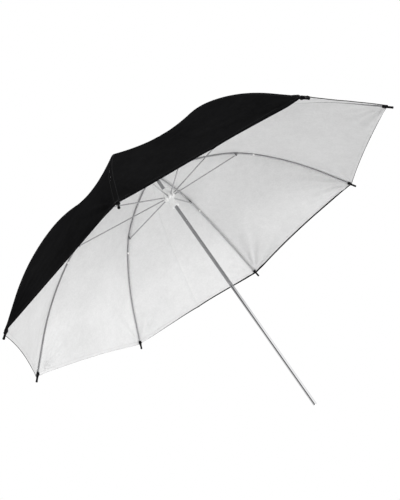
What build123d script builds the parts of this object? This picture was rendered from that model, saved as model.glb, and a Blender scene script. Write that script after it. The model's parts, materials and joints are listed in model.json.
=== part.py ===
"""Photographic umbrella reflector, stored open.

Millimetres, +Z up along the shaft towards the crown. The origin is the centre of the
shaft's lower end, which is the end that goes into a lamp stand's umbrella bracket.
Eight ribs stand on the X and Y axes and the diagonals between them.
"""

import math
import os

from build123d import *

# ---- driving dimensions ----

# shaft
shaft_length = 566.0
shaft_radius = 3.5
shaft_wall = 0.7

# places on the shaft
hinge_below_top = 14.4  # the rib hinges, below the shaft's upper end
runner_pivot_drop = 59.0  # the stretcher pivots in the open umbrella's runner, below the hinges
end_chamfer = 0.3

# rib: three tangent arcs and a straight end, seen from the side of the umbrella
rib_count = 8
first_rib_azimuth = -90.0
hinge_radius = 13.2
rib_rise = 4.8  # degrees above level at the hinge
crown_run = 160.0
crown_bend = 15.5
shoulder_run = 85.0
shoulder_bend = 17.5
skirt_run = 170.0
skirt_bend = 18.5
straight_run = 79.0
rib_width = 2.4
rib_depth = 2.0
rib_wall = 0.35

# stretcher and its joint on the rib
joint_run = 200.5  # along the rib, from its hinge
joint_drop = 3.6  # the rivet below the rib's middle line
stretcher_width = 2.2
stretcher_depth = 1.8
runner_pivot_radius = 9.7
rivet_radius = 0.6
rivet_head_radius = 1.1
rivet_head_thickness = 0.4
clip_half_length = 4.5
clip_wall = 0.55
clip_ear_radius = 1.7

# eyes at the pivots
tongue_radius = 1.2
tongue_thickness = 1.6
shank_depth = 1.8  # of the flattened stretch between an eye and its channel
channel_start = 5.0  # the channel begins this far from a pivot
shank_overlap = 4.0  # the shank's length inside the channel
wire_radius = 0.5

# tip cap
tip_length = 21.0
tip_bulb_length = 9.5
tip_bulb_radius = 2.3
tip_bulb_crown = 0.4  # how much the bulb swells between its ends
tip_stem_radius = 1.2
tip_bead_radius = 1.5  # the rounded bead on the stem's end
tip_bead_length = 2.0
tip_dome_height = 0.8
tip_socket_depth = 8.0

# top notch, its pin and the cap; each wall is measured from what it surrounds
notch_lip = 2.3  # beyond the hinge wire
notch_drop = 5.5
notch_rise = 1.7
notch_edge = 1.0
notch_collar_wall = 3.5
notch_collar_length = 11.0
notch_pin_radius = 0.9
washer_rim = 7.5  # beyond the shaft
washer_thickness = 0.8
cap_brim_wall = 4.1
cap_neck_wall = 1.7
cap_brim_height = 2.5
cap_shoulder_height = 1.5
cap_dome_height = 3.0
cap_wall_above_shaft = 2.6

# runner
runner_lip = 2.3  # beyond the stretcher pivots
runner_crown_half_height = 5.0
runner_tube_wall = 2.7
runner_neck_wall = 3.3  # above the crown
runner_top_rise = 17.6  # top of the runner above its pivots
runner_bottom_drop = 25.1  # bottom of the runner below its pivots
runner_foot_wall = 3.9
runner_foot_height = 4.0
runner_edge = 1.0
runner_cone_height = 1.5

# catch, stop and plug
catch_nose_height = 11.0
catch_nose_reach = 2.3
catch_leaf_length = 34.0
catch_leaf_thickness = 0.5
catch_leaf_inner = 1.4  # from the shaft's axis to the leaf
catch_width = 1.4
catch_azimuth = 90.0
catch_end_room = 1.0  # of the slot above and below the nose
crimp_depth = 0.2  # of the groove rolled round the shaft, which keeps the spring's foot from sliding down
crimp_roller_radius = 0.8
crimp_below_leaf = 3.0
stop_pin_radius = 0.8
stop_pin_reach = 2.0  # beyond the shaft on each side
end_plug_length = 10.0
end_plug_inset = 0.2
end_plug_chamfer = 0.6

# canopy
canopy_thickness = 0.8
canopy_hole_wall = 2.0  # from the shaft to the hole's edge
canopy_sag = 12.0  # how far the middle of a panel is pulled in
least_sag = 0.05
hem_scallop = 9.0  # how far the hem curves in between two tips
canopy_steps = 22

# clearances
running_clearance = 0.08  # radial, on the shaft and the hinge wires
seat_gap = 0.02  # radial, between pieces fixed to each other
side_clearance = 0.4  # each side of a tongue in its slot, and round its end
open_pivot_clearance = 0.2  # between the runner's wire and the stretchers' eyes
clip_clearance = 0.05
stop_clearance = 0.3  # from the runner to its stop pin and to its catch
cloth_clearance = 0.3
panel_gap = 0.3  # each edge of a panel to the plane it shares with the next

# ---- derived places ----

rib_pitch = 360.0 / rib_count
half_pitch = math.radians(rib_pitch / 2)
rib_length = crown_run + shoulder_run + skirt_run + straight_run
hinge_height = shaft_length - hinge_below_top
runner_pivot_height = hinge_height - runner_pivot_drop
eye_radius = wire_radius + running_clearance
hinge_slot_width = rib_width + 2 * side_clearance
runner_slot_width = stretcher_width + 2 * side_clearance
shaft_bore_radius = shaft_radius - shaft_wall
runner_top = runner_pivot_height + runner_top_rise
runner_bottom = runner_pivot_height - runner_bottom_drop
cloth_offset = tip_bulb_radius + cloth_clearance  # cloth above the rib's middle line
cloth_end_run = rib_length - tip_length + tip_bulb_length


def rib_station(run):
    """Radius, height and slope (radians) of the rib's middle line at a distance along it."""
    radius, height, slope = hinge_radius, hinge_height, math.radians(rib_rise)
    if run < 0:
        return radius + run, height, 0.0
    arcs = ((crown_run, crown_bend), (shoulder_run, shoulder_bend), (skirt_run, skirt_bend))
    for arc_run, arc_bend in arcs:
        bend_radius = arc_run / math.radians(arc_bend)
        turned = slope - min(run, arc_run) / bend_radius
        radius += bend_radius * (math.sin(slope) - math.sin(turned))
        height -= bend_radius * (math.cos(slope) - math.cos(turned))
        slope = turned
        if run <= arc_run:
            return radius, height, slope
        run -= arc_run
    return radius + run * math.cos(slope), height + run * math.sin(slope), slope


def beside_rib(run, offset):
    """The point in the rib's own plane that is offset outwards from its middle line."""
    radius, height, slope = rib_station(run)
    return radius - offset * math.sin(slope), height + offset * math.cos(slope)


def rib_frame(run):
    """A plane across the rib: X is sideways, Y points out of the umbrella."""
    radius, height, slope = rib_station(run)
    tangent = (math.cos(slope), 0, math.sin(slope))
    return Plane(origin=(radius, 0, height), x_dir=(0, -1, 0), z_dir=tangent)


def rivet_frame():
    """A plane in the rib's own plane with its origin on the stretcher's rivet, X along the rib."""
    slope = rib_station(joint_run)[2]
    radius, height = beside_rib(joint_run, -joint_drop)
    tangent = (math.cos(slope), 0, math.sin(slope))
    return Plane(origin=(radius, 0, height), x_dir=tangent, z_dir=(0, -1, 0))


def write(piece, name):
    piece.part.label = name
    export_step(piece.part, f"parts/{name}.step")


os.makedirs("parts", exist_ok=True)

# ---- shaft and the pieces fixed to it ----

catch_plane = Plane.XZ.rotated((0, 0, catch_azimuth))
catch_top = runner_bottom - stop_clearance
catch_bottom = catch_top - catch_nose_height
stop_height = runner_top + stop_clearance + stop_pin_radius
notch_pin_height = hinge_height - notch_drop - notch_collar_length / 2
notch_collar_radius = shaft_radius + notch_collar_wall
leaf_outer = catch_leaf_inner + catch_leaf_thickness
leaf_foot = catch_top - catch_leaf_length
crimp_height = leaf_foot - crimp_below_leaf
crimp_ring_radius = shaft_radius + crimp_roller_radius - crimp_depth
through_shaft = shaft_radius + 1  # past the shaft's wall on each side

with BuildPart() as shaft:
    with BuildSketch():
        Circle(shaft_radius)
        Circle(shaft_bore_radius, mode=Mode.SUBTRACT)
    extrude(amount=shaft_length)
    chamfer(shaft.edges().group_by(Axis.Z)[0].sort_by(SortBy.RADIUS)[-1], end_chamfer)
    with BuildSketch(catch_plane):
        with Locations((shaft_radius, (catch_top + catch_bottom) / 2)):
            Rectangle(3 * shaft_wall, catch_nose_height + 2 * catch_end_room)
    extrude(amount=catch_width / 2 + side_clearance, both=True, mode=Mode.SUBTRACT)
    for pin_height, pin_radius in (
        (stop_height, stop_pin_radius),
        (notch_pin_height, notch_pin_radius),
    ):
        with BuildSketch(Plane.YZ):
            with Locations((0, pin_height)):
                Circle(pin_radius + seat_gap)
        extrude(amount=through_shaft, both=True, mode=Mode.SUBTRACT)
    with Locations((0, 0, crimp_height)):
        Torus(crimp_ring_radius, crimp_roller_radius, mode=Mode.SUBTRACT)
write(shaft, "shaft")

with BuildPart() as shaft_end_plug:
    with BuildSketch(Plane.XY.offset(end_plug_inset)):
        Circle(shaft_bore_radius - seat_gap)
    extrude(amount=end_plug_length)
    chamfer(shaft_end_plug.edges().group_by(Axis.Z)[-1], end_plug_chamfer)
write(shaft_end_plug, "shaft_end_plug")

with BuildPart() as stop_pin:
    with BuildSketch(Plane.YZ):
        with Locations((0, stop_height)):
            Circle(stop_pin_radius)
    extrude(amount=shaft_radius + stop_pin_reach, both=True)
    chamfer(stop_pin.edges().filter_by(GeomType.CIRCLE), stop_pin_radius / 4)
write(stop_pin, "stop_pin")

with BuildPart() as notch_pin:
    with BuildSketch(Plane.YZ):
        with Locations((0, notch_pin_height)):
            Circle(notch_pin_radius)
    extrude(amount=notch_collar_radius, both=True)
write(notch_pin, "notch_pin")

with BuildPart() as catch_spring:
    with BuildSketch(catch_plane):
        with BuildLine():
            Polyline(
                (catch_leaf_inner, leaf_foot),
                (leaf_outer, leaf_foot),
                (leaf_outer, catch_bottom),
                (shaft_radius + catch_nose_reach, catch_top - catch_leaf_thickness),
                (shaft_radius + catch_nose_reach, catch_top),
                (catch_leaf_inner, catch_top),
                close=True,
            )
        make_face()
    extrude(amount=catch_width / 2, both=True)
write(catch_spring, "catch_spring")

notch_radius = hinge_radius + notch_lip
notch_top = hinge_height + notch_rise
notch_low = hinge_height - notch_drop
notch_slot_floor = hinge_radius - tongue_radius - side_clearance - running_clearance
with BuildPart() as top_notch:
    with BuildSketch(Plane.XZ):
        with BuildLine():
            Polyline(
                (shaft_radius + seat_gap, notch_top),
                (notch_radius - notch_edge, notch_top),
                (notch_radius, notch_top - notch_edge),
                (notch_radius, notch_low + 2 * notch_edge),
                (notch_radius - 2 * notch_edge, notch_low),
                (notch_collar_radius, notch_low),
                (notch_collar_radius, notch_low - notch_collar_length),
                (shaft_radius + seat_gap, notch_low - notch_collar_length),
                close=True,
            )
        make_face()
    revolve(axis=Axis.Z)
    with BuildSketch(Plane.XY.offset(notch_low - notch_edge)):
        with PolarLocations(notch_slot_floor, rib_count, start_angle=first_rib_azimuth):
            Rectangle(notch_radius, hinge_slot_width, align=(Align.MIN, Align.CENTER))
    extrude(amount=notch_drop + notch_rise + 2 * notch_edge, mode=Mode.SUBTRACT)
    with Locations((0, 0, hinge_height)):
        Torus(hinge_radius, eye_radius, mode=Mode.SUBTRACT)
    with BuildSketch(Plane.YZ):
        with Locations((0, notch_pin_height)):
            Circle(notch_pin_radius + seat_gap)
    extrude(amount=2 * notch_collar_radius, both=True, mode=Mode.SUBTRACT)
write(top_notch, "top_notch")

with BuildPart() as notch_wire:
    with Locations((0, 0, hinge_height)):
        Torus(hinge_radius, wire_radius)
write(notch_wire, "notch_wire")

cloth_top = hinge_height + cloth_offset + canopy_thickness

with BuildPart() as crown_washer:
    with BuildSketch(Plane.XY.offset(cloth_top + cloth_clearance)):
        Circle(shaft_radius + washer_rim)
        Circle(shaft_radius + seat_gap, mode=Mode.SUBTRACT)
    extrude(amount=washer_thickness)
    chamfer(crown_washer.edges().group_by(Axis.Z)[-1].sort_by(SortBy.RADIUS)[-1], end_chamfer)
write(crown_washer, "crown_washer")

cap_bottom = cloth_top + cloth_clearance + washer_thickness + seat_gap
cap_top = shaft_length + cap_wall_above_shaft
cap_brim_top = cap_bottom + cap_brim_height
cap_radius = shaft_radius + cap_brim_wall
cap_neck_radius = shaft_radius + cap_neck_wall
dome_start = (cap_neck_radius, cap_top - cap_dome_height)
with BuildPart() as crown_cap:
    with BuildSketch(Plane.XZ):
        with BuildLine():
            Polyline(
                (0, cap_top),
                (0, cap_bottom),
                (cap_radius, cap_bottom),
                (cap_radius, cap_brim_top),
                (cap_neck_radius, cap_brim_top + cap_shoulder_height),
                dome_start,
            )
            TangentArc((0, cap_top), dome_start, tangent=(1, 0))
        make_face()
    revolve(axis=Axis.Z)
    with BuildSketch(Plane.XY.offset(shaft_length + seat_gap)):
        Circle(shaft_radius + seat_gap)
    extrude(amount=cap_bottom - cap_top, mode=Mode.SUBTRACT)
write(crown_cap, "crown_cap")

# ---- runner ----

runner_bore = shaft_radius + running_clearance
runner_tube_radius = shaft_radius + runner_tube_wall
runner_neck_radius = shaft_radius + runner_neck_wall
runner_foot_radius = shaft_radius + runner_foot_wall
runner_foot_top = runner_bottom + runner_foot_height
runner_crown_radius = runner_pivot_radius + runner_lip
runner_slot_floor = runner_pivot_radius - tongue_radius - side_clearance - open_pivot_clearance
runner_wire_ring = runner_slot_floor - wire_radius / 2
crown_low = runner_pivot_height - runner_crown_half_height
crown_high = runner_pivot_height + runner_crown_half_height
with BuildPart() as runner:
    with BuildSketch(Plane.XZ):
        with BuildLine():
            Polyline(
                (runner_bore, runner_bottom),
                (runner_foot_radius, runner_bottom),
                (runner_foot_radius, runner_foot_top),
                (runner_tube_radius, runner_foot_top + runner_cone_height),
                (runner_tube_radius, crown_low - runner_cone_height),
                (runner_crown_radius - runner_edge, crown_low),
                (runner_crown_radius, crown_low + runner_edge),
                (runner_crown_radius, crown_high - runner_edge),
                (runner_crown_radius - runner_edge, crown_high),
                (runner_neck_radius, crown_high + runner_cone_height),
                (runner_neck_radius, runner_top - runner_edge),
                (runner_neck_radius - runner_edge, runner_top),
                (runner_bore, runner_top),
                close=True,
            )
        make_face()
    revolve(axis=Axis.Z)
    with BuildSketch(Plane.XY.offset(crown_low - 2 * runner_cone_height)):
        with PolarLocations(runner_slot_floor, rib_count, start_angle=first_rib_azimuth):
            Rectangle(runner_crown_radius, runner_slot_width, align=(Align.MIN, Align.CENTER))
    extrude(amount=crown_high - crown_low + 4 * runner_cone_height, mode=Mode.SUBTRACT)
    with Locations((0, 0, runner_pivot_height)):
        Torus(runner_wire_ring, wire_radius + seat_gap, mode=Mode.SUBTRACT)
write(runner, "runner")

with BuildPart() as runner_wire:
    with Locations((0, 0, runner_pivot_height)):
        Torus(runner_wire_ring, wire_radius)
write(runner_wire, "runner_wire")

# ---- one rib with its tip, its clip and its stretcher, at azimuth 0 ----


def channel_section(width, depth, wall):
    """A U section open towards -Y, centred on the sketch's origin."""
    Rectangle(width, depth)
    with Locations((0, -wall)):
        Rectangle(width - 2 * wall, depth, mode=Mode.SUBTRACT)


rib_channel_end = rib_length - tip_length + tip_socket_depth - side_clearance
hinge_point = (hinge_radius, hinge_height)
shank_end_radius, shank_end_height, _ = rib_station(channel_start + shank_overlap)

with BuildPart() as rib_pattern:
    with BuildLine(Plane.XZ) as rib_path:
        start_radius, start_height, start_slope = rib_station(channel_start)
        JernArc(
            start=(start_radius, start_height),
            tangent=(math.cos(start_slope), math.sin(start_slope)),
            radius=crown_run / math.radians(crown_bend),
            arc_size=-crown_bend * (crown_run - channel_start) / crown_run,
        )
        for arc_start, arc_run, arc_bend in (
            (crown_run, shoulder_run, shoulder_bend),
            (crown_run + shoulder_run, skirt_run, skirt_bend),
        ):
            arc_radius, arc_height, arc_slope = rib_station(arc_start)
            JernArc(
                start=(arc_radius, arc_height),
                tangent=(math.cos(arc_slope), math.sin(arc_slope)),
                radius=arc_run / math.radians(arc_bend),
                arc_size=-arc_bend,
            )
        Line(
            rib_station(rib_length - straight_run)[:2],
            rib_station(rib_channel_end)[:2],
        )
    with BuildSketch(rib_frame(channel_start)):
        channel_section(rib_width, rib_depth, rib_wall)
    sweep(path=rib_path.line)
    with BuildSketch(Plane.XZ):
        with Locations(hinge_point):
            Circle(tongue_radius)
        with BuildLine():
            Polyline(
                (hinge_radius, hinge_height + shank_depth / 2),
                (hinge_radius, hinge_height - shank_depth / 2),
                (shank_end_radius, shank_end_height - shank_depth / 2),
                (shank_end_radius, shank_end_height + shank_depth / 2),
                close=True,
            )
        make_face()
        with Locations(hinge_point):
            Circle(eye_radius, mode=Mode.SUBTRACT)
    extrude(amount=tongue_thickness / 2, both=True)

tip_frame = rib_frame(rib_length - tip_length)
bulb_start = (0, tip_bulb_radius - tip_bulb_crown)
bulb_end = (tip_bulb_length - tip_dome_height, tip_bulb_radius - tip_bulb_crown)
tip_dome_start = (tip_length - tip_dome_height, tip_bead_radius)
with BuildPart() as tip_pattern:
    with BuildSketch(Plane(tip_frame.origin, x_dir=tip_frame.z_dir, z_dir=tip_frame.x_dir)):
        with BuildLine():
            Line((0, 0), bulb_start)
            ThreePointArc(bulb_start, (tip_bulb_length / 2, tip_bulb_radius), bulb_end)
            Polyline(
                bulb_end,
                (tip_bulb_length + tip_dome_height, tip_stem_radius),
                (tip_length - tip_bead_length - tip_dome_height, tip_stem_radius),
                (tip_length - tip_bead_length, tip_bead_radius),
                tip_dome_start,
            )
            TangentArc((tip_length, 0), tip_dome_start, tangent=(0, 1))
            Line((tip_length, 0), (0, 0))
        make_face()
    revolve(axis=Axis(tip_frame.origin, tip_frame.z_dir))
    with BuildSketch(tip_frame):
        Circle(math.hypot(rib_width, rib_depth) / 2 + seat_gap)
    extrude(amount=tip_socket_depth, mode=Mode.SUBTRACT)

clip_inner = rib_width / 2 + clip_clearance
clip_outer = clip_inner + clip_wall
clip_roof = rib_depth / 2 + clip_clearance
clip_hem = (Align.CENTER, Align.MAX)
with BuildPart() as clip_pattern:
    with BuildSketch(rib_frame(joint_run).offset(-clip_half_length)):
        with Locations((0, clip_roof + clip_wall)):
            Rectangle(2 * clip_outer, rib_depth + clip_wall, align=clip_hem)
        with Locations((0, clip_roof)):
            Rectangle(2 * clip_inner, 2 * rib_depth, align=clip_hem, mode=Mode.SUBTRACT)
    extrude(amount=2 * clip_half_length)
    for side in (-1, 1):
        ear_plane = rivet_frame().offset(side * (clip_inner + clip_outer) / 2)
        with BuildSketch(ear_plane):
            Circle(clip_ear_radius)
            with Locations((0, joint_drop / 2)):
                Rectangle(2 * clip_ear_radius, joint_drop)
            Circle(rivet_radius + seat_gap, mode=Mode.SUBTRACT)
        extrude(amount=clip_wall / 2, both=True)

with BuildPart() as rivet_pattern:
    with BuildSketch(rivet_frame()):
        Circle(rivet_radius)
    extrude(amount=clip_outer + rivet_head_thickness, both=True)
    for side in (-1, 1):
        head_middle = clip_outer + clip_clearance + rivet_head_thickness / 2
        with BuildSketch(rivet_frame().offset(side * head_middle)):
            Circle(rivet_head_radius)
        extrude(amount=rivet_head_thickness / 2, both=True)

rivet_radius_at, rivet_height_at = beside_rib(joint_run, -joint_drop)
stretcher_length = math.hypot(
    rivet_radius_at - runner_pivot_radius, rivet_height_at - runner_pivot_height
)
stretcher_slope = math.atan2(
    rivet_height_at - runner_pivot_height, rivet_radius_at - runner_pivot_radius
)
stretcher_along = (math.cos(stretcher_slope), 0, math.sin(stretcher_slope))
stretcher_side_plane = Plane(
    origin=(runner_pivot_radius, 0, runner_pivot_height),
    x_dir=stretcher_along,
    z_dir=(0, -1, 0),
)
stretcher_section_plane = Plane(
    origin=(runner_pivot_radius, 0, runner_pivot_height),
    x_dir=(0, -1, 0),
    z_dir=stretcher_along,
)
with BuildPart() as stretcher_pattern:
    with BuildSketch(stretcher_section_plane.offset(channel_start)):
        channel_section(stretcher_width, stretcher_depth, rib_wall)
    extrude(amount=stretcher_length - 2 * channel_start)
    with BuildSketch(stretcher_side_plane):
        for pivot_at, inwards in ((0, 1), (stretcher_length, -1)):
            with Locations((pivot_at, 0)):
                Circle(tongue_radius)
            with Locations((pivot_at + inwards * (channel_start + shank_overlap) / 2, 0)):
                Rectangle(channel_start + shank_overlap, stretcher_depth - rib_wall)
        with Locations((0, 0)):
            Circle(eye_radius, mode=Mode.SUBTRACT)
        with Locations((stretcher_length, 0)):
            Circle(rivet_radius + running_clearance, mode=Mode.SUBTRACT)
    extrude(amount=tongue_thickness / 2, both=True)

# ---- one half panel of the canopy, from the rib at azimuth 0 to the middle of the panel ----


def panel_station(run):
    """The section plane of a half panel at a distance along the rib, its width and its sag.

    The plane's origin is on the panel's middle plane at the height of the chord between
    the ribs. Its X runs back to the rib and its Y points out of the umbrella.
    """
    radius, height, slope = rib_station(run)
    radius -= cloth_offset * math.sin(slope)
    height += cloth_offset * math.cos(slope)
    middle = radius * math.cos(half_pitch)
    origin = (middle * math.cos(half_pitch), middle * math.sin(half_pitch), height)
    outwards = Vector(
        -math.sin(slope) * math.cos(half_pitch),
        -math.sin(slope) * math.sin(half_pitch),
        math.cos(slope),
    )
    to_rib = Vector(math.sin(half_pitch), -math.cos(half_pitch), 0)
    share = min(max(run, 0) / cloth_end_run, 1)
    sag = max(canopy_sag * math.sin(math.pi * share**1.2) ** 1.5, least_sag)
    plane = Plane(origin=origin, x_dir=to_rib, z_dir=to_rib.cross(outwards))
    return plane, radius * math.sin(half_pitch), sag


hole_run = shaft_radius + canopy_hole_wall - hinge_radius
panel_runs = [hole_run] + [cloth_end_run * step / canopy_steps for step in range(canopy_steps + 1)]
with BuildPart() as half_panel:
    for station_run in panel_runs:
        station_plane, half_width, station_sag = panel_station(station_run)
        rib_edge = half_width - panel_gap
        with BuildSketch(station_plane):
            with BuildLine():
                TangentArc((panel_gap, -station_sag), (rib_edge, 0), tangent=(1, 0))
                Line((rib_edge, 0), (rib_edge, canopy_thickness))
                TangentArc(
                    (panel_gap, canopy_thickness - station_sag),
                    (rib_edge, canopy_thickness),
                    tangent=(1, 0),
                )
                Line((panel_gap, -station_sag), (panel_gap, canopy_thickness - station_sag))
            make_face()
    loft(ruled=True)
    hem_plane, hem_half_width, _ = panel_station(cloth_end_run)
    # flat on the panel's end, with Y pointing on past the hem
    hem_face = Plane(origin=hem_plane.origin, x_dir=hem_plane.x_dir, z_dir=hem_plane.y_dir)
    with BuildSketch(hem_face):
        with BuildLine():
            TangentArc((0, -hem_scallop), (hem_half_width, 0), tangent=(1, 0))
            Polyline(
                (hem_half_width, 0),
                (hem_half_width, hem_scallop),
                (0, hem_scallop),
                (0, -hem_scallop),
            )
        make_face()
    extrude(amount=3 * hem_scallop, both=True, mode=Mode.SUBTRACT)

# ---- the repeated pieces, each turned to its own rib ----

for number in range(rib_count):
    turn = (0, 0, first_rib_azimuth + number * rib_pitch)
    with BuildPart() as rib:
        add(rib_pattern.part, rotation=turn)
    write(rib, f"rib_{number + 1}")
    with BuildPart() as rib_tip:
        add(tip_pattern.part, rotation=turn)
    write(rib_tip, f"rib_tip_{number + 1}")
    with BuildPart() as rib_clip:
        add(clip_pattern.part, rotation=turn)
        add(rivet_pattern.part, rotation=turn)
    write(rib_clip, f"rib_clip_{number + 1}")
    with BuildPart() as stretcher:
        add(stretcher_pattern.part, rotation=turn)
    write(stretcher, f"stretcher_{number + 1}")
    with BuildPart() as panel_left:
        add(half_panel.part, rotation=turn)
    write(panel_left, f"canopy_{number + 1}_left")
    with BuildPart() as panel_right:
        add(half_panel.part.mirror(Plane.XZ), rotation=turn)
    write(panel_right, f"canopy_{number + 1}_right")
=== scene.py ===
import json
from math import atan2, cos, hypot, pi, radians, sin

import bpy
import numpy as np
from mathutils import Matrix, Vector


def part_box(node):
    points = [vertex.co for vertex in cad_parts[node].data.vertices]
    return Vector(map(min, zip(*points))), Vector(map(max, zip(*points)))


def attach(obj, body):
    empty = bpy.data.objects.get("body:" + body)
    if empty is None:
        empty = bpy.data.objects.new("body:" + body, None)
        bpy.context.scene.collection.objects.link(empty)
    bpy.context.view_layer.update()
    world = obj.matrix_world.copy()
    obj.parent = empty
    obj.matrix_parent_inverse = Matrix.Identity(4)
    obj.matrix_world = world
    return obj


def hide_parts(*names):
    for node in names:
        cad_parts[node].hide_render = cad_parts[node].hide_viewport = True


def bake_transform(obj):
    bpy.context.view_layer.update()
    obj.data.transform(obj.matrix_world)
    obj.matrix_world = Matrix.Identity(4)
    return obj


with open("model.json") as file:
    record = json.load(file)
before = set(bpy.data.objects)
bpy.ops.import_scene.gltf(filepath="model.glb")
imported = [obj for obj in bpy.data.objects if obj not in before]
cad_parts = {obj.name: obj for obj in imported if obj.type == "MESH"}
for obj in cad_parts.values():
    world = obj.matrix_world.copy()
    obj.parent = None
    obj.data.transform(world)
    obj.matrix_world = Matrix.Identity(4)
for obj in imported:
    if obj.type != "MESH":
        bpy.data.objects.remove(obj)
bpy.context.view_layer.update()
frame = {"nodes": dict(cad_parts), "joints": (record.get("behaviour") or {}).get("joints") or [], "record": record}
joints = {j["name"]: j for j in frame["joints"]}
ribCount = sum(name.startswith("rib_hinge_") for name in joints)
halfPitch = pi / ribCount
mm = 0.001
print("frame loaded,", ribCount, "ribs")

# The rib's line, which the cloth, the ties and the tips all follow.
firstHinge = Vector(joints["rib_hinge_1"]["pos_m"])
ribLine = {
    "hingeRadius": hypot(firstHinge.x, firstHinge.y),
    "hingeHeight": firstHinge.z,
    "rise": radians(4.8),       # slope where the rib leaves its hinge
    # length and bend of each arc, from the hinge outwards
    "arcs": ((160 * mm, radians(15.5)), (85 * mm, radians(17.5)), (170 * mm, radians(18.5))),
    "straight": 79 * mm,
    "tip": 21 * mm,             # length of the tip cap
    "bulb": 9.5 * mm,           # from the cap's inner end to the cloth's corner
    "halfDepth": 1.0 * mm,
}
ribLength = sum(run for run, _ in ribLine["arcs"]) + ribLine["straight"]
clothEnd = ribLength - ribLine["tip"] + ribLine["bulb"]


# The angle round the shaft at which a rib's hinge stands.
def ribAzimuth(number):
    spot = joints[f"rib_hinge_{number}"]["pos_m"]
    return atan2(spot[1], spot[0])


# Radius, height and slope along the rib: three arcs one after another, each turning the
# slope evenly down, and then a straight end. Works on a whole array of distances at once.
def ribStation(run):
    run = np.asarray(run, float)
    radius = np.full(run.shape, ribLine["hingeRadius"])
    height = np.full(run.shape, ribLine["hingeHeight"])
    slope = np.where(run < 0, 0.0, ribLine["rise"])
    left = run.copy()
    for arcRun, arcBend in ribLine["arcs"]:
        bendRadius = arcRun / arcBend
        beyond = slope - np.clip(left, 0, arcRun) / bendRadius
        radius += bendRadius * (np.sin(slope) - np.sin(beyond))
        height -= bendRadius * (np.cos(slope) - np.cos(beyond))
        left -= np.where(left > 0, np.minimum(left, arcRun), 0)
        slope = beyond
    radius += left * np.cos(slope)
    height += left * np.sin(slope)
    return radius, height, slope


# A socket that takes part in Python expressions: each operator adds one Math node.
class Val:
    def __init__(self, paint, socket):
        self.paint, self.socket = paint, socket

    def maths(self, operation, other=None, swap=False):
        ends = [self] if other is None else [other, self] if swap else [self, other]
        made = self.paint.node("ShaderNodeMath", {"operation": operation}, dict(enumerate(ends)))
        return Val(self.paint, made.outputs[0])

    def __add__(self, other): return self.maths("ADD", other)
    def __radd__(self, other): return self.maths("ADD", other, True)
    def __sub__(self, other): return self.maths("SUBTRACT", other)
    def __rsub__(self, other): return self.maths("SUBTRACT", other, True)
    def __mul__(self, other): return self.maths("MULTIPLY", other)
    def __rmul__(self, other): return self.maths("MULTIPLY", other, True)
    def __truediv__(self, other): return self.maths("DIVIDE", other)
    def __pow__(self, other): return self.maths("POWER", other)
    def __lt__(self, other): return self.maths("LESS_THAN", other)
    def wave(self): return self.maths("SINE")
    def size(self): return self.maths("ABSOLUTE")
    def share(self): return self.maths("FRACT")
    def floored(self): return self.maths("MAXIMUM", 0.0)
    def capped(self): return self.maths("MINIMUM", 1.0)


# One material or world, with its nodes made by the node method.
class Paint:
    def __init__(self, name, world=False):
        self.holder = (bpy.data.worlds if world else bpy.data.materials).new(name)
        self.holder.use_nodes = True
        self.tree = self.holder.node_tree
        self.surface = self.tree.nodes["Background" if world else "Principled BSDF"]

    def node(self, kind, settings=None, sockets=None):
        made = self.tree.nodes.new(kind)
        for key, value in (settings or {}).items():
            if key == "stops":
                ramp = made.color_ramp.elements
                while len(ramp) < len(value):
                    ramp.new(1.0)
                for element, (place, colour) in zip(ramp, value):
                    element.position = place
                    element.color = colour
            else:
                setattr(made, key, value)
        for key, value in (sockets or {}).items():
            socket = made.inputs[key]
            if isinstance(value, Val):
                self.tree.links.new(value.socket, socket)
            else:
                socket.default_value = value
        return made

    def place(self, scale=(1, 1, 1), uv=None):
        if uv:
            source = self.node("ShaderNodeUVMap", {"uv_map": uv}).outputs["UV"]
        else:
            source = self.node("ShaderNodeTexCoord").outputs["Object"]
        mapped = self.node("ShaderNodeMapping", None, {"Vector": Val(self, source), "Scale": scale})
        return Val(self, mapped.outputs["Vector"])

    def split(self, vector):
        made = self.node("ShaderNodeSeparateXYZ", None, {"Vector": vector})
        return [Val(self, made.outputs[axis]) for axis in "XYZ"]

    def noise(self, where, scale, detail=2.0, rough=0.5):
        made = self.node("ShaderNodeTexNoise", None,
                         {"Vector": where, "Scale": scale, "Detail": detail, "Roughness": rough})
        return Val(self, made.outputs["Fac"])

    def ramp(self, value, stops):
        stops = [(place, (*colour, 1.0)) for place, colour in stops]
        made = self.node("ShaderNodeValToRGB", {"stops": stops}, {"Fac": value})
        return Val(self, made.outputs["Color"])

    def mix(self, share, first, second):
        made = self.node("ShaderNodeMix", {"data_type": "RGBA"})
        factor, colourA, colourB = (made.inputs[place] for place in (0, 6, 7))
        for socket, value in ((factor, share), (colourA, first), (colourB, second)):
            if isinstance(value, Val):
                self.tree.links.new(value.socket, socket)
            else:
                socket.default_value = value if not isinstance(value, tuple) else (*value, 1.0)
        return Val(self, made.outputs[2])

    def bump(self, height, strength, distance, under=None):
        sockets = {"Height": height, "Strength": strength, "Distance": distance}
        if under:
            sockets["Normal"] = under
        return Val(self, self.node("ShaderNodeBump", None, sockets).outputs["Normal"])

    def finish(self, **sockets):
        for key, value in sockets.items():
            name = {"colour": "Base Color", "rough": "Roughness", "metal": "Metallic",
                    "normal": "Normal", "coat": "Coat Weight", "gloss": "Specular IOR Level",
                    "coatRough": "Coat Roughness", "alpha": "Alpha"}[key]
            if isinstance(value, Val):
                self.tree.links.new(value.socket, self.surface.inputs[name])
            else:
                self.surface.inputs[name].default_value = value
        return self.holder


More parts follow.
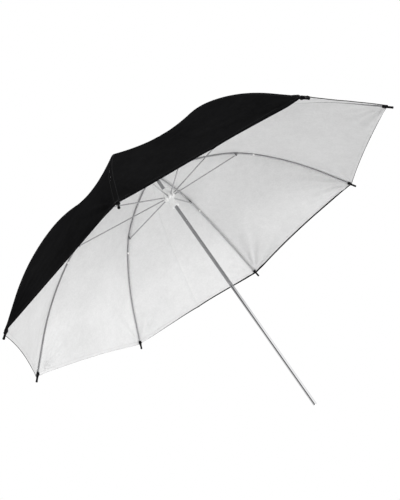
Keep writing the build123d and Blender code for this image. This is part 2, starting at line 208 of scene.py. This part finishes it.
clothWeave = {
    "pitch": 0.9 * mm,          # one wave, which is two threads
    "stitchFromHem": 7 * mm,
    "seamFromRib": 4.5 * mm,
    "stitchPitch": 3.2 * mm,
    "stitchShare": 0.68,        # thread showing, of each stitch's pitch
    "stitchWidth": 0.35 * mm,   # half the thread's width
    "stitchTint": 0.6,
    "foldPast": 1 * mm,         # the doubled cloth goes this far beyond its stitches
    # scale, detail and roughness of the unevenness, from broad to fine
    "broad": (7.0, 3.0, 0.55),
    "mottle": (70.0, 3.0, 0.6),
    "fine": (260.0, 2.0, 0.6),
    "shares": (0.45, 0.25, 0.30),
    "shadeRange": (0.32, 0.70),     # where the colour is darkest and lightest
    # what the weave, the fine noise, the doubled cloth and the stitches give to the relief
    "relief": (0.25, 0.5, 1.6, 1.2),
}


# A plain weave: the product of two sine waves at right angles, like the squares of a chessboard.
def weaveHeight(paint, across, along):
    turn = 2 * pi / clothWeave["pitch"]
    return (across * turn).wave() * (along * turn).wave()


# The dashes of a seam: a narrow band at a set distance from a line, broken at each stitch.
def stitchMask(distance, along, at):
    band = (distance - at).size() < clothWeave["stitchWidth"]
    dash = (along / clothWeave["stitchPitch"]).share() < clothWeave["stitchShare"]
    return band * dash


# Woven cloth: three noises added in their shares pick the colour, the stitches tint it, and the
# relief is the weave plus the fine noise, raised where the cloth is doubled, sunk at the stitches.
def clothMaterial(name, colours, rough, bumpDepth, threadColour, gloss):
    paint = Paint(name)
    across, along, _ = paint.split(paint.place(uv="cut"))
    fromRib, fromHem, _ = paint.split(paint.place(uv="edges"))
    weave = weaveHeight(paint, across, along)
    broad = paint.noise(paint.place(), *clothWeave["broad"])
    mottle = paint.noise(paint.place(), *clothWeave["mottle"])
    fine = paint.noise(paint.place(), *clothWeave["fine"])
    broadShare, mottleShare, fineShare = clothWeave["shares"]
    shade = broad * broadShare + mottle * mottleShare + fine * fineShare
    colour = paint.ramp(shade, zip(clothWeave["shadeRange"], colours))
    hemAt, seamAt = clothWeave["stitchFromHem"], clothWeave["seamFromRib"]
    hemStitch = stitchMask(fromHem, across, hemAt)
    ribStitch = stitchMask(fromRib, along, seamAt)
    stitches = (hemStitch + ribStitch).capped()
    colour = paint.mix(stitches * clothWeave["stitchTint"], colour, threadColour)
    past = clothWeave["foldPast"]
    folded = ((fromHem < hemAt + past) + (fromRib < seamAt + past)).capped()
    woven, grained, doubled, sunk = clothWeave["relief"]
    relief = weave * woven + fine * grained + folded * doubled - stitches * sunk
    normal = paint.bump(relief, 1.0, bumpDepth)
    return paint.finish(colour=colour, rough=rough[0] + broad * (rough[1] - rough[0]),
                        gloss=gloss, normal=normal)


# Drawn or plated metal: noise stretched into fine lines sets the roughness and the bump, and with
# a blotchy noise the colour. Painted shade can blend the colour evenly towards a shade colour, from a low height
# to a high one.
def metalMaterial(name, dark, light, rough, streaks, depth=0.02 * mm, paintedShade=None):
    paint = Paint(name)
    lines = paint.noise(paint.place(scale=streaks), 40.0, 3.0, 0.6)
    blotch = paint.noise(paint.place(), 60.0, 2.0)
    colour = paint.ramp(blotch * 0.4 + lines * 0.6, [(0.3, dark), (0.7, light)])
    # painted shade: the colour turns to the darker shade colour as the height rises
    if paintedShade:
        height = paint.split(paint.place())[2]
        above = (height - paintedShade["low"]) / (paintedShade["high"] - paintedShade["low"])
        colour = paint.mix(above.floored().capped(), colour, paintedShade["colour"])
    return paint.finish(colour=colour, metal=1.0, rough=rough[0] + lines * (rough[1] - rough[0]),
                        normal=paint.bump(lines, 0.35, depth))


# Moulded plastic: a faint grain, with the colour a little uneven.
def plasticMaterial(name, low, high, rough, coat=0.0, gloss=0.5):
    paint = Paint(name)
    pits = paint.noise(paint.place(), 900.0, 2.0)
    broad = paint.noise(paint.place(), 35.0, 2.0)
    colour = paint.ramp(broad, [(0.3, low), (0.7, high)])
    return paint.finish(colour=colour, rough=rough[0] + broad * (rough[1] - rough[0]), coat=coat,
                        gloss=gloss, coatRough=0.15, normal=paint.bump(pits, 0.3, 0.05 * mm))


# Twisted thread: a sine wave on a slant through all three axes is its colour and its relief.
def threadMaterial(name, low, high):
    paint = Paint(name)
    x, y, z = paint.split(paint.place(scale=(2600, 2600, 2600)))
    twist = (x + y + z * 1.7).wave()
    colour = paint.ramp(twist * 0.5 + 0.5, [(0.2, low), (0.8, high)])
    return paint.finish(colour=colour, rough=0.8, gloss=0.1, normal=paint.bump(twist, 0.6, 0.08 * mm))


# Painted shade: the shaft's colour darkens evenly from its bright lower end to a dark grey up inside the canopy.
shaftPaintedShade = {"low": 0.16, "high": 0.30, "colour": (0.36, 0.36, 0.37)}

finishes = {
    "clothBlack": clothMaterial("cloth_black", ((0.0040, 0.0040, 0.0042), (0.0095, 0.0095, 0.0099)),
                                (0.60, 0.72), 0.10 * mm, (0.045, 0.045, 0.046), 0.0),
    "clothWhite": clothMaterial("cloth_white", ((0.63, 0.63, 0.63), (0.77, 0.77, 0.77)),
                                (0.60, 0.72), 0.09 * mm, (0.52, 0.52, 0.52), 0.15),
    "hemBlack": clothMaterial("hem_black", ((0.003, 0.003, 0.0032), (0.008, 0.008, 0.0085)),
                              (0.55, 0.65), 0.10 * mm, (0.01, 0.01, 0.01), 0.0),
    "ribSteel": metalMaterial("rib_steel", (0.31, 0.31, 0.32), (0.46, 0.46, 0.47),
                              (0.16, 0.30), (6, 6, 6)),
    "stretcherSteel": metalMaterial("stretcher_steel", (0.36, 0.36, 0.365), (0.52, 0.52, 0.53),
                                    (0.18, 0.30), (6, 6, 6)),
    "brightSteel": metalMaterial("bright_steel", (0.50, 0.50, 0.51), (0.66, 0.66, 0.67),
                                 (0.2, 0.35), (9, 9, 9)),
    "shaftMetal": metalMaterial("shaft_metal", (0.74, 0.74, 0.75), (0.84, 0.84, 0.85), (0.05, 0.10),
                                (14, 14, 0.6), 0.01 * mm, shaftPaintedShade),
    "runnerWhite": plasticMaterial("runner_white", (0.90, 0.90, 0.895), (0.95, 0.95, 0.945),
                                   (0.24, 0.36), coat=0.25),
    "tipBlack": plasticMaterial("tip_black", (0.004, 0.004, 0.0045), (0.010, 0.010, 0.011),
                                (0.34, 0.50), gloss=0.03),
    "tieWhite": threadMaterial("tie_white", (0.72, 0.72, 0.71), (0.90, 0.90, 0.89)),
    "tieBlack": threadMaterial("tie_black", (0.008, 0.008, 0.009), (0.03, 0.03, 0.031)),
}
print("materials made")


# One smooth object at the origin from a grid of points and a list of faces, with its finishes.
def addPiece(name, points, faces, looks):
    mesh = bpy.data.meshes.new(name)
    mesh.from_pydata(points.reshape(-1, 3).tolist(), [], faces)
    mesh.polygons.foreach_set("use_smooth", np.ones(len(mesh.polygons), bool))
    piece = bpy.data.objects.new(name, mesh)
    bpy.context.scene.collection.objects.link(piece)
    for look in looks:
        piece.data.materials.append(finishes[look])
    return piece


# Quads between the rows and columns of a grid. A closed grid joins its last column to its first.
def gridFaces(rows, columns, closed=False, flip=False):
    lastColumn = columns if closed else columns - 1
    row, column = np.meshgrid(np.arange(rows - 1), np.arange(lastColumn), indexing="ij")
    after = (column + 1) % columns
    quads = np.stack([row * columns + column, row * columns + after,
                      (row + 1) * columns + after, (row + 1) * columns + column], -1).reshape(-1, 4)
    return (quads[:, ::-1] if flip else quads).tolist()


# The faces of a tube: quads round every ring, and the first and last rings as flat ends.
def tubeFaces(rings, around):
    first = list(range(around))[::-1]
    last = [(rings - 1) * around + n for n in range(around)]
    return gridFaces(rings, around, closed=True) + [first, last]


# A turned piece: the profile's radius and distance, carried round an axis. The first and last
# rings close to flat ends.
def turned(name, profile, origin, axis, look, around):
    profile = np.array(profile, float)
    axis = Vector(axis).normalized()
    side = axis.orthogonal().normalized()
    frameAxes = np.array([side, axis.cross(side), axis])
    angle = np.linspace(0, 2 * pi, around, endpoint=False)
    radius, distance = profile[:, 0][:, None], profile[:, 1][:, None]
    local = np.stack([radius * np.cos(angle), radius * np.sin(angle), distance + 0 * angle], -1)
    points = local @ frameAxes + np.array(origin)
    return addPiece(name, points, tubeFaces(len(profile), around), [look])


canopy = {
    "holeRadius": 4.4 * mm,
    "thickness": 0.35 * mm,
    "liftAtRib": 1.4 * mm,      # cloth over the rib's back
    "liftAtNotch": 2.7 * mm,    # cloth over the notch, above the hinge
    "notchLeft": (18 * mm, 60 * mm),        # where the cloth comes down from the notch to the rib
    "liftOverBulb": 0.7 * mm,
    "bulbClimb": (20 * mm, 8 * mm),         # where it rises to the bulb, back from the corner
    "sag": 12 * mm,             # the middle of a gore, pulled in
    "sagPlace": 1.2,            # above 1 moves the deepest place outwards
    "sagEase": 1.5,
    # for gores 1 to 8: how far the hem is pulled in between tips, and the fold down the middle
    "scallop": (0, 0.5 * mm, 5 * mm, 6.5 * mm, 4 * mm, 5.5 * mm, 8.5 * mm, 0.5 * mm),
    "creaseDepth": (1.0 * mm, 0, 0, 0, 1.1 * mm, 0, 0, 0),
    # how wide the black hem rolls inwards, at its lower rib, middle and upper rib
    "hemRoll": ((1.0 * mm,) * 3, (1.2 * mm,) * 3, (0.7 * mm,) * 3, (1.5 * mm, 2.0 * mm, 2.2 * mm),
                (2.0 * mm, 1.6 * mm, 0.1 * mm), (0.45 * mm,) * 3, (0.6 * mm,) * 3, (0.9 * mm,) * 3),
    "creaseWidth": 0.025,       # as a share of the gore's half width
    "creaseStart": (20 * mm, 120 * mm),
    "wrinkle": 2.6 * mm,
    "wrinkleReach": 55 * mm,    # a corner's ripples die away over this
    "wrinkleFrom": (6 * mm, 34 * mm),       # they rise over this range from the corner
    "wrinkleClear": 16 * mm,    # and stay off the rib by this
    "softWave": 0.9 * mm,
    "seed": 1200,
    "rows": 110,
    "columns": 40,
    "hemFlatness": 0.45,        # the hem's thickness against its width
    "hemCore": 0.15 * mm,
    "hemColumns": 60,
    "hemAround": 10,
}


# Smooth step from 0 at the first value to 1 at the second.
def ease(value, low, high):
    share = np.clip((value - low) / (high - low), 0, 1)
    return share * share * (3 - 2 * share)


# Height of the cloth over the rib's middle line: the notch's height near the hub, the rib's own
# back further out, and the tip's bulb at the corner.
def clothLift(run):
    rib = ribLine["halfDepth"] + canopy["liftAtRib"]
    nearHub = canopy["liftAtNotch"] + (rib - canopy["liftAtNotch"]) * ease(run, *canopy["notchLeft"])
    climbStart, climbEnd = canopy["bulbClimb"]
    overBulb = canopy["liftOverBulb"] * ease(run, clothEnd - climbStart, clothEnd - climbEnd)
    return nearHub + overBulb


# Wrinkles of one gore at (run along, side across from -1 to 1): a fan of ripples out of each
# corner, dying away from it, and a few soft waves across the gore, all zero on the ribs.
def wrinkles(gore, run, side):
    draw = np.random.default_rng(canopy["seed"] + gore)
    tiny = 1e-4
    share = np.clip(run / clothEnd, 0, 1)
    width = ribStation(run)[0] * sin(halfPitch)
    total = np.zeros_like(run * side)
    for corner in (-1, 1):
        down = (clothEnd - run) + tiny
        inward = (1 - corner * side) * width + tiny
        angle = np.arctan2(inward, down)
        away = np.hypot(inward, down)
        reach = np.exp(-away / canopy["wrinkleReach"]) * ease(away, *canopy["wrinkleFrom"])
        fan = 0
        for _ in range(4):
            strength, ripples = draw.uniform(0.4, 1), draw.uniform(9, 22)
            fan = fan + strength * np.sin(ripples * angle + draw.uniform(0, 2 * pi))
        total = total + fan * reach * ease(inward, 0, canopy["wrinkleClear"])
    soft = 0
    for _ in range(3):
        strength, wavesDown = draw.uniform(0.3, 0.8), draw.uniform(5, 12)
        along = strength * np.sin(wavesDown * share + draw.uniform(0, 6))
        wavesAcross = draw.uniform(1.5, 4)
        soft = soft + along * np.cos(wavesAcross * side + draw.uniform(-1, 1))
    soft = soft * canopy["softWave"] * share * (1 - side ** 2) * ease(np.abs(side), 0, 0.25)
    return total * canopy["wrinkle"] + soft


# The gore between a rib and the next one on the hand's side, anticlockwise for 1.
def goreOf(number, hand):
    return number if hand > 0 else (number - 2) % ribCount + 1


# How far the middle of a gore is pulled in, along the rib: half a sine wave, drawn outwards and
# narrowed by its two powers.
def goreSag(run):
    share = np.clip(run / clothEnd, 0, 1)
    return canopy["sag"] * np.sin(pi * share ** canopy["sagPlace"]) ** canopy["sagEase"]


# One half of a gore: across runs from 0 on the rib to 1 on the fold down the gore's middle, and
# down from 0 at the hub to 1 at the hem. At each place along the rib the cloth spans the chord to
# the next rib, pulled in by the sag as the square of the distance from the ribs, and creased at
# the fold.
def goreHalf(number, hand, across, down):
    gore = goreOf(number, hand)
    side = -hand * (1 - across)
    hemShare = 1 - side ** 2
    start = canopy["holeRadius"] - ribLine["hingeRadius"]
    end = clothEnd - canopy["scallop"][gore - 1] * hemShare
    run = start + down * (end - start)
    radius, height, slope = ribStation(run)
    lift = clothLift(run)
    radius = radius - lift * np.sin(slope)
    height = height + lift * np.cos(slope)
    push = wrinkles(gore, run, side) - goreSag(run) * hemShare
    crease = canopy["creaseDepth"][gore - 1] * np.exp(-(1 - across) / canopy["creaseWidth"])
    push = push - crease * ease(run, *canopy["creaseStart"])
    middle = radius * cos(halfPitch) - push * np.sin(slope)
    height = height + push * np.cos(slope)
    offMiddle = -radius * sin(halfPitch) * (1 - across) * hand
    azimuth = ribAzimuth(number) + hand * halfPitch
    points = np.stack([middle * cos(azimuth) - offMiddle * sin(azimuth),
                       middle * sin(azimuth) + offMiddle * cos(azimuth), height], -1)
    return points, run


# Lays the cloth's fold on the flat cut, where x is the share across from the rib to the fold,
# and then drapes the cut.
def foldAndDrape(piece, across, draped):
    flat = np.zeros((across.size, 3), np.float32)
    flat[:, 0] = across.ravel()
    piece.data.vertices.foreach_set("co", flat.ravel())
    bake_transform(piece)
    piece.data.vertices.foreach_set("co", draped.astype(np.float32).ravel())
    piece.data.update()


# A UV map whose u and v are given at each vertex, in metres on the cloth.
def addUV(piece, name, u, v):
    layer = piece.data.uv_layers.new(name=name)
    corner = np.zeros(len(piece.data.loops), np.int32)
    piece.data.loops.foreach_get("vertex_index", corner)
    places = np.stack([u.ravel()[corner], v.ravel()[corner]], -1)
    layer.data.foreach_set("uv", places.astype(np.float32).ravel())


# The area of a grid: half the cross product of each quad's diagonals, summed.
def clothArea(points):
    a, b, c, d = points[:-1, :-1], points[:-1, 1:], points[1:, 1:], points[1:, :-1]
    return float(np.linalg.norm(np.cross(c - a, d - b), axis=-1).sum() / 2)


# The turned edge of the cloth: a flattened oval carried along the hem, as wide as the roll there.
def hemBand(number, hand, sideName):
    columns, around = canopy["hemColumns"], canopy["hemAround"]
    across = np.linspace(0, 1, columns)
    roll = np.interp(-hand * (1 - across), (-1, 0, 1), canopy["hemRoll"][goreOf(number, hand) - 1])
    edge, _ = goreHalf(number, hand, across[None, :], np.ones((1, columns)))
    inner, _ = goreHalf(number, hand, across[None, :], np.full((1, columns), 0.985))
    along = np.gradient(edge[0], axis=0)
    along /= np.linalg.norm(along, axis=1, keepdims=True)
    inward = inner[0] - edge[0]
    inward -= (inward * along).sum(1, keepdims=True) * along
    inward /= np.linalg.norm(inward, axis=1, keepdims=True)
    normal = np.cross(along, inward)
    angle = np.linspace(0, 2 * pi, around, endpoint=False)
    wide = roll[:, None] * np.cos(angle)
    thick = (roll[:, None] * canopy["hemFlatness"] + canopy["hemCore"]) * np.sin(angle)
    points = edge[0][:, None] + inward[:, None] * wide[..., None] + normal[:, None] * thick[..., None]
    band = addPiece(f"hem_{number}_{sideName}", points, tubeFaces(columns, around), ["hemBlack"])
    halfHem = 0.17      # the hem's length on half a gore, for the weave's scale
    for layer in ("cut", "edges"):
        addUV(band, layer, np.repeat(across, around) * halfHem, np.tile(angle, columns) * mm)
    foldAndDrape(band, np.repeat(across, around), points)
    return band


# Marks a sheet's outer edges as sharp, which keeps the shading of its faces apart from its rim.
def sharpenBorder(piece, rows, columns):
    ends = np.zeros(2 * len(piece.data.edges), np.int32)
    piece.data.edges.foreach_get("vertices", ends)
    row, column = np.divmod(ends.reshape(-1, 2), columns)
    border = np.zeros(len(row), bool)
    for place, last in ((row, rows - 1), (column, columns - 1)):
        border |= (place[:, 0] == place[:, 1]) & ((place[:, 0] == 0) | (place[:, 0] == last))
    piece.data.attributes.new("sharp_edge", "BOOLEAN", "EDGE").data.foreach_set("value", border)


# One half gore: its grid of points as a sheet with black and white sides, its wall thickened
# inwards, and its hem.
def addGoreHalf(number, hand):
    sideName = "left" if hand > 0 else "right"
    across, down = np.meshgrid(np.linspace(0, 1, canopy["columns"]), np.linspace(0, 1, canopy["rows"]))
    points, run = goreHalf(number, hand, across, down)
    faces = gridFaces(*across.shape, flip=hand > 0)
    cloth = addPiece(f"cloth_{number}_{sideName}", points, faces, ["clothBlack", "clothWhite"])
    halfWidth = ribStation(run)[0] * sin(halfPitch)
    addUV(cloth, "cut", halfWidth * (1 - across), run)
    addUV(cloth, "edges", halfWidth * across, run.max(0)[None, :] - run)
    foldAndDrape(cloth, across, points)
    sharpenBorder(cloth, *across.shape)
    wall = cloth.modifiers.new("thickness", "SOLIDIFY")
    wall.thickness = canopy["thickness"]
    wall.offset = -1
    wall.material_offset = 1
    wall.material_offset_rim = 1
    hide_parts(f"canopy_{number}_{sideName}")
    band = hemBand(number, hand, sideName)
    clothArea(points)


for number in range(1, ribCount + 1):
    for hand in (1, -1):
        addGoreHalf(number, hand)
print("canopy made")


tip = {
    # radius and distance from the cap's inner end, in millimetres: bulb, stem and end bead
    "profile": ((0.0, 0), (2.2, 0), (2.6, 0.5), (2.85, 2.4), (2.9, 5.0), (2.75, 7.2), (2.45, 8.8),
                (2.2, 9.8), (2.1, 11.0), (2.05, 17.6), (2.25, 18.4), (2.3, 19.4), (2.15, 20.2),
                (1.6, 20.75), (0.7, 20.95), (0.02, 21.0)),
    "around": 32,
}


# A tip cap: its profile turned round the line of the rib's straight end.
def addTip(number):
    azimuth = ribAzimuth(number)
    radius, height, slope = (float(x) for x in ribStation(ribLength - ribLine["tip"]))
    along = (cos(slope) * cos(azimuth), cos(slope) * sin(azimuth), sin(slope))
    origin = (radius * cos(azimuth), radius * sin(azimuth), height)
    pole = 0.02         # the ends close to a point this wide
    profile = [(max(wide, pole) * mm, out * mm) for wide, out in tip["profile"]]
    piece = turned(f"tip_{number}", profile, origin, along, "tipBlack", tip["around"])
    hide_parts(f"rib_tip_{number}")
    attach(piece, f"rib_{number}")


for number in range(1, ribCount + 1):
    addTip(number)
print("tips made")

thread = {
    "run": 242 * mm,        # from the rib's hinge
    "turns": 6,
    "pitch": 0.75 * mm,
    "tube": 0.42 * mm,
    "steps": 40,            # in each turn
    "around": 8,
    "squareness": 0.7,      # 1 winds an oval, and less than 1 a rounded rectangle
    # half width, half height and how far the loop's middle stands out from the rib's middle line
    "loop": (1.7 * mm, 1.35 * mm, -0.25 * mm),
    "cornerRun": 477.5 * mm,    # round the tip's bulb
    "cornerLoop": (3.05 * mm, 3.05 * mm, 0.05 * mm),
    "cornerTurns": 3,
}


# A thread wound on a rib's section: a rounded rectangle as the powers of a cosine and a sine,
# carried along the rib while it turns, with a round tube drawn along that path.
def addThread(name, number, at, turns, loop, look):
    halfWidth, halfHeight, above = loop
    around, power = thread["around"], thread["squareness"]
    count = turns * thread["steps"] + 1
    turn = np.linspace(0, 2 * pi * turns, count)
    run = at + (turn / (2 * pi) - turns / 2) * thread["pitch"]
    radius, height, slope = ribStation(run)
    sideways = halfWidth * np.sign(np.cos(turn)) * np.abs(np.cos(turn)) ** power
    outwards = above + halfHeight * np.sign(np.sin(turn)) * np.abs(np.sin(turn)) ** power
    middle = radius - outwards * np.sin(slope)
    azimuth = ribAzimuth(number)
    path = np.stack([middle * cos(azimuth) - sideways * sin(azimuth),
                     middle * sin(azimuth) + sideways * cos(azimuth),
                     height + outwards * np.cos(slope)], -1)
    along = np.gradient(path, axis=0)
    along /= np.linalg.norm(along, axis=1, keepdims=True)
    ribWay = np.stack([np.cos(slope) * cos(azimuth), np.cos(slope) * sin(azimuth),
                       np.sin(slope)], -1)
    first = ribWay - (ribWay * along).sum(1, keepdims=True) * along
    first /= np.linalg.norm(first, axis=1, keepdims=True)
    second = np.cross(along, first)
    angle = np.linspace(0, 2 * pi, around, endpoint=False)[None, :, None]
    ring = first[:, None] * np.cos(angle) + second[:, None] * np.sin(angle)
    points = path[:, None] + ring * thread["tube"]
    piece = addPiece(name, points, tubeFaces(count, around), [look])
    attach(piece, f"rib_{number}")


for number in range(1, ribCount + 1):
    addThread(f"tie_{number}", number, thread["run"], thread["turns"], thread["loop"], "tieWhite")
    addThread(f"corner_stitch_{number}", number, thread["cornerRun"], thread["cornerTurns"],
              thread["cornerLoop"], "tieBlack")
print("threads made")

_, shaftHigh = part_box("shaft")
shaftRadius = shaftHigh.x
shaftShape = {
    "wall": 0.7 * mm,
    "edge": 0.3 * mm,
    "crimpHeight": 430.2 * mm,  # the groove rolled round the tube under the catch spring
    "crimpRoller": 0.8 * mm,
    "crimpDepth": 0.2 * mm,
    "around": 64,
}


# The tube's outline: a rounded lower edge, a straight wall, the crimp as an arc pressed in, and
# the straight wall again. Close pairs of rings keep the wall's shading straight.
def shaftProfile():
    bore = shaftRadius - shaftShape["wall"]
    edge = shaftShape["edge"]
    profile = [(bore, 2 * edge), (bore, 0.1 * edge), (shaftRadius - 1.6 * edge, 0),
               (shaftRadius - edge, 0)]
    for step in np.linspace(0.15, 1, 5):
        profile.append((shaftRadius - edge * (1 - sin(step * pi / 2)), edge * (1 - cos(step * pi / 2))))
    profile += [(shaftRadius, 2 * edge), (shaftRadius, 10 * edge)]
    roller, depth = shaftShape["crimpRoller"], shaftShape["crimpDepth"]
    reach = np.sqrt(roller ** 2 - (roller - depth) ** 2)
    for offset in (-8 * reach, -1.6 * reach):
        profile.append((shaftRadius, shaftShape["crimpHeight"] + offset))
    for offset in np.linspace(-reach, reach, 9):
        profile.append((shaftRadius + roller - depth - np.sqrt(roller ** 2 - offset ** 2),
                        shaftShape["crimpHeight"] + offset))
    for offset in (1.6 * reach, 8 * reach):
        profile.append((shaftRadius, shaftShape["crimpHeight"] + offset))
    return profile + [(shaftRadius, shaftHigh.z - 10 * edge), (shaftRadius, shaftHigh.z - edge),
                      (shaftRadius - edge, shaftHigh.z)]


shaft = turned("shaft_tube", shaftProfile(), (0, 0, 0), (0, 0, 1), "shaftMetal",
               shaftShape["around"])
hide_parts("shaft")
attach(shaft, "frame")

nodeFinish = {
    "rib_steel": "ribSteel", "bright_steel": "brightSteel", "black_plastic": "tipBlack",
    "runner_plastic": "runnerWhite", "shaft": "shaftMetal", "canopy_cloth": "clothBlack",
}
slotOf = {part["node"]: part["material_slot"] for part in frame["record"]["subparts"]}
for name, node in frame["nodes"].items():
    look = "stretcherSteel" if name.startswith("stretcher") else nodeFinish[slotOf[name]]
    node.data.materials.clear()
    node.data.materials.append(finishes[look])
print("frame nodes finished")


studio = {
    "floorDrop": 0.75,          # the floor's depth under the shaft's end
    "floorSize": 16.0,
    "floorSolid": 1.5,          # the floor fades out from this far round the object
    "floorGone": 5.5,
    "floorTones": ((0.76, 0.76, 0.76), (0.80, 0.80, 0.80)),
    "backdrop": 1.0,            # what the camera sees behind the object
    "walls": 0.66,              # the light that comes from all round
    # soft patches of the room: direction, how tightly it is gathered, added strength
    "patches": (
        ((0.0, 0.0, 1.0), 1.0, 0.45),
        ((-0.23, -0.95, 0.20), 16.0, -1.8),
        ((0.95, -0.3, -0.1), 2.0, 0.42),
    ),
    # name, place, size, power
    "lights": (("key", (6.0, -5.0, -1.3), 1.8, 296), ("top", (-1.6, 1.0, 3.4), 1.6, 110)),
    "aim": (0, 0, 0.4),
}
camera = {
    "place": (0.2333, -1.4947, -0.0883),
    "forward": (-0.1543, 0.9454, 0.287),
    "up": (0.6035, -0.1397, 0.785),
    "lens": 58.53,
}


# A pale floor that fades into the backdrop: its cover falls smoothly with distance from the middle.
def addFloor():
    half = studio["floorSize"] / 2
    z = -studio["floorDrop"]
    mesh = bpy.data.meshes.new("floor")
    corners = [(-half, -half, z), (half, -half, z), (half, half, z), (-half, half, z)]
    mesh.from_pydata(corners, [], [(0, 1, 2, 3)])
    floor = bpy.data.objects.new("floor", mesh)
    bpy.context.scene.collection.objects.link(floor)
    paint = Paint("floor_white")
    x, y, _ = paint.split(paint.place())
    tone = paint.noise(paint.place(), 3.0, 2.0)
    away = (x * x + y * y) ** 0.5
    cover = (studio["floorGone"] - away) / (studio["floorGone"] - studio["floorSolid"])
    cover = cover.floored().capped()
    dark, light = studio["floorTones"]
    colour = paint.ramp(tone, [(0.2, dark), (0.8, light)])
    mesh.materials.append(paint.finish(colour=colour, rough=0.95, gloss=0.0,
                                       alpha=cover * cover * (3 - 2 * cover)))


# The room's light: even walls with soft patches, each the power of how nearly a direction points
# at it. The camera itself sees plain white.
def addRoom():
    paint = Paint("studio", world=True)
    direction = Val(paint, paint.node("ShaderNodeTexCoord").outputs["Generated"])
    strength = studio["walls"]
    for toward, power, added in studio["patches"]:
        toward = tuple(Vector(toward).normalized())
        dot = paint.node("ShaderNodeVectorMath", {"operation": "DOT_PRODUCT"},
                         {0: direction, 1: toward})
        facing = Val(paint, dot.outputs["Value"]).floored()
        strength = strength + facing ** power * added
    seen = Val(paint, paint.node("ShaderNodeLightPath").outputs["Is Camera Ray"])
    strength = strength.floored() * (1 - seen) + seen * studio["backdrop"]
    paint.surface.inputs["Color"].default_value = (1, 1, 1, 1)
    paint.tree.links.new(strength.socket, paint.surface.inputs["Strength"])
    bpy.context.scene.world = paint.holder
    bpy.context.scene.view_settings.view_transform = "Standard"


# Square soft lights, each turned so that its face looks at the aim.
def addLights():
    for name, place, size, power in studio["lights"]:
        data = bpy.data.lights.new(name, "AREA")
        data.size = size
        data.energy = power
        light = bpy.data.objects.new(name, data)
        light.location = place
        toAim = Vector(studio["aim"]) - Vector(place)
        light.rotation_euler = toAim.to_track_quat("-Z", "Y").to_euler()
        bpy.context.scene.collection.objects.link(light)


# The camera looks along forward, with its right and up made square to it.
def addCamera():
    data = bpy.data.cameras.new("camera")
    data.lens = camera["lens"]
    data.clip_end = 100
    eye = bpy.data.objects.new("camera", data)
    forward = Vector(camera["forward"]).normalized()
    right = forward.cross(Vector(camera["up"])).normalized()
    up = right.cross(forward)
    turn = Matrix((right, up, -forward)).transposed()
    eye.matrix_world = Matrix.Translation(camera["place"]) @ turn.to_4x4()
    bpy.context.scene.collection.objects.link(eye)
    bpy.context.scene.camera = eye


addFloor()
addRoom()
addLights()
addCamera()
print("studio made")
